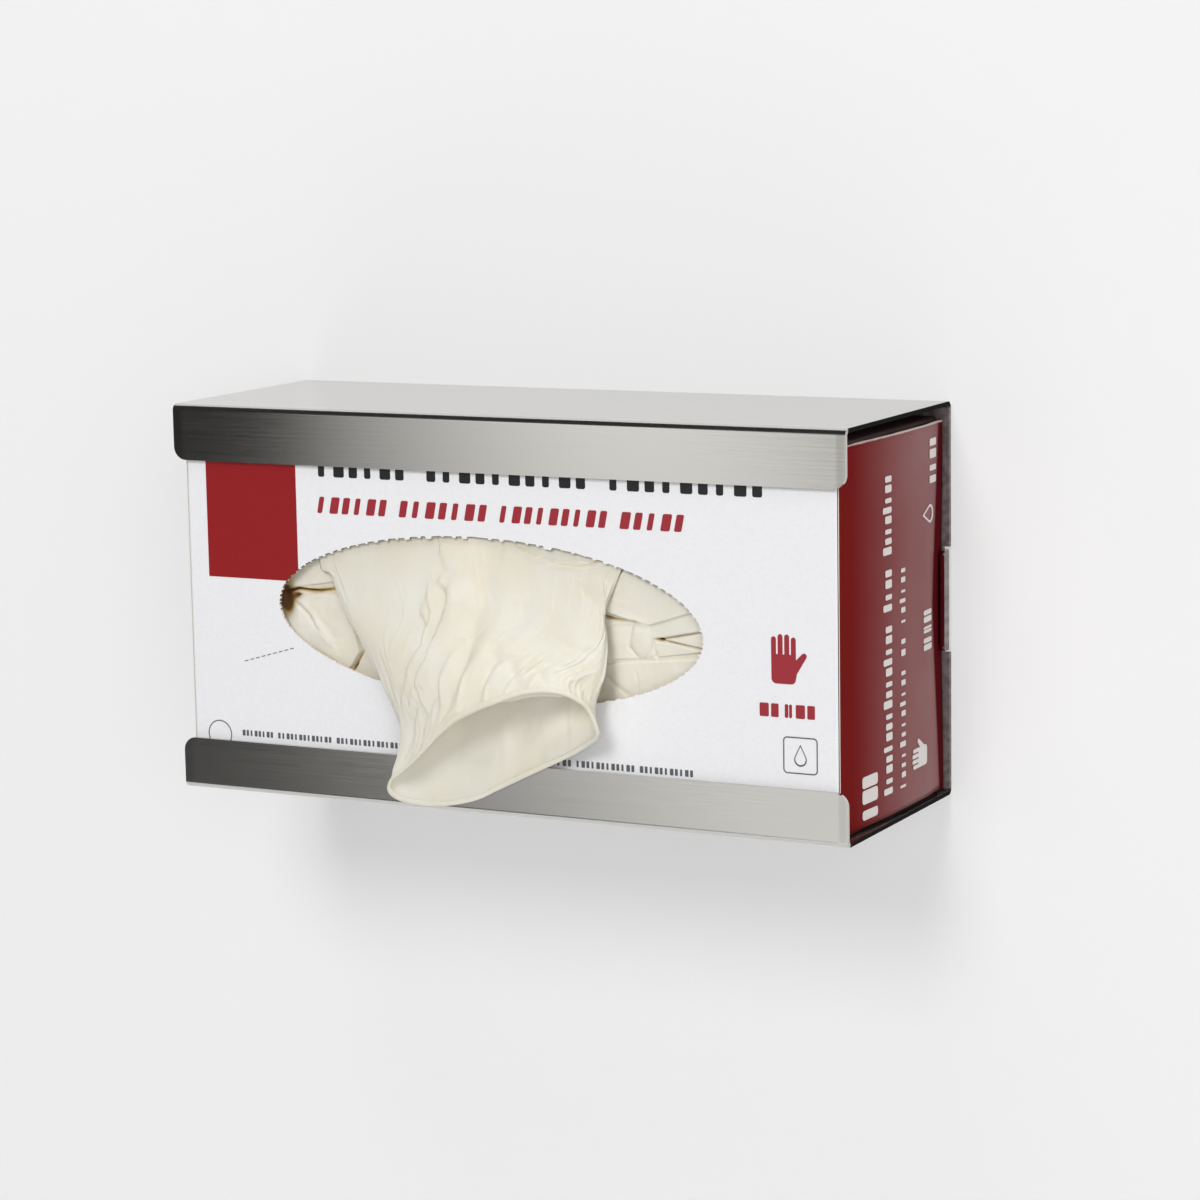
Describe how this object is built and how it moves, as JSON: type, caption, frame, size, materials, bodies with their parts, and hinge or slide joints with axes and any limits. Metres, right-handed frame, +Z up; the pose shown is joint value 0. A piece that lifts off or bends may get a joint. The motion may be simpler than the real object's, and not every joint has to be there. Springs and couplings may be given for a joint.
{
  "type": "disposable glove dispenser",
  "caption": "Wall holder folded from brushed sheet steel, with a board carton of thin gloves and one glove pulled half out of its oval window.",
  "frame": {"origin": "middle of the wall face of the back plate, at the centre of the four fixing holes", "axes": "+X to the right along the width, +Y into the wall, +Z up"},
  "size_m": [0.25, 0.1085, 0.134],
  "materials": {
    "brushed_steel": "horizontal brushed grain, satin",
    "printed_board": "coated white board with red and grey printed fields, semi-gloss",
    "latex": "thin cream film, soft sheen"
  },
  "bodies": {
    "root": {"holder": "brushed_steel", "carton": "printed_board", "glove_stack": "latex", "second_glove": "latex", "third_glove": "latex", "pulled_glove": "latex"}
  },
  "joints": []
}
